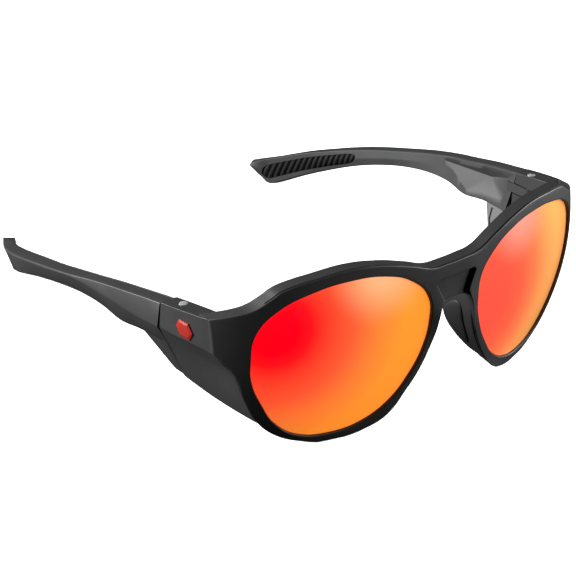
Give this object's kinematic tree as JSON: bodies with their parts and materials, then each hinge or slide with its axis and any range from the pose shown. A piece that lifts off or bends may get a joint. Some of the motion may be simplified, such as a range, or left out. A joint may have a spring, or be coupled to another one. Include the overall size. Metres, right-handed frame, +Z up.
{
  "type": "sport sunglasses",
  "caption": "Wraparound sport sunglasses: moulded front with mirrored lenses and side shields, two folding temples with ribbed grips, soft nose pads.",
  "frame": {"origin": "middle of the bounding box, at the surface the glasses stand on (under both rims and both temple tips)", "axes": "+Z up, the front faces -Y, the temples run back along +Y, +X is the wearer's left, x = 0 is the plane of symmetry"},
  "size_m": [0.1546, 0.1744, 0.0572],
  "materials": {
    "frame": "satin black moulding",
    "mirror_lens": "red to orange mirror coating",
    "pad_carrier": "satin black",
    "soft_pad": "matt black",
    "temple": "satin dark grey",
    "grip": "ribbed matt black",
    "screw_steel": "bright",
    "nylon": "natural",
    "brass_nut": "plain",
    "inlay": "gloss red"
  },
  "bodies": {
    "front": {"front_frame": "frame", "left_lens": "mirror_lens", "left_pad_carrier": "pad_carrier", "left_nose_pad": "soft_pad", "left_hinge_screw": "screw_steel", "left_hinge_washer": "nylon", "left_hinge_nut": "brass_nut", "left_emblem_inlay": "inlay", "right_lens": "mirror_lens", "right_pad_carrier": "pad_carrier", "right_nose_pad": "soft_pad", "right_hinge_screw": "screw_steel", "right_hinge_washer": "nylon", "right_hinge_nut": "brass_nut", "right_emblem_inlay": "inlay"},
    "left_temple": {"left_temple": "temple", "left_temple_grip": "grip", "left_hinge_sleeve": "nylon"},
    "right_temple": {"right_temple": "temple", "right_temple_grip": "grip", "right_hinge_sleeve": "nylon"}
  },
  "joints": [
    {"name": "left_temple_hinge", "type": "hinge", "parent": "front", "child": "left_temple", "pos_m": [0.0703, -0.0493, 0.0381], "axis": [0, 0, 1], "range_deg": [0, 80]},
    {"name": "right_temple_hinge", "type": "hinge", "parent": "front", "child": "right_temple", "pos_m": [-0.0703, -0.0493, 0.0381], "axis": [0, 0, -1], "range_deg": [0, 90]}
  ]
}
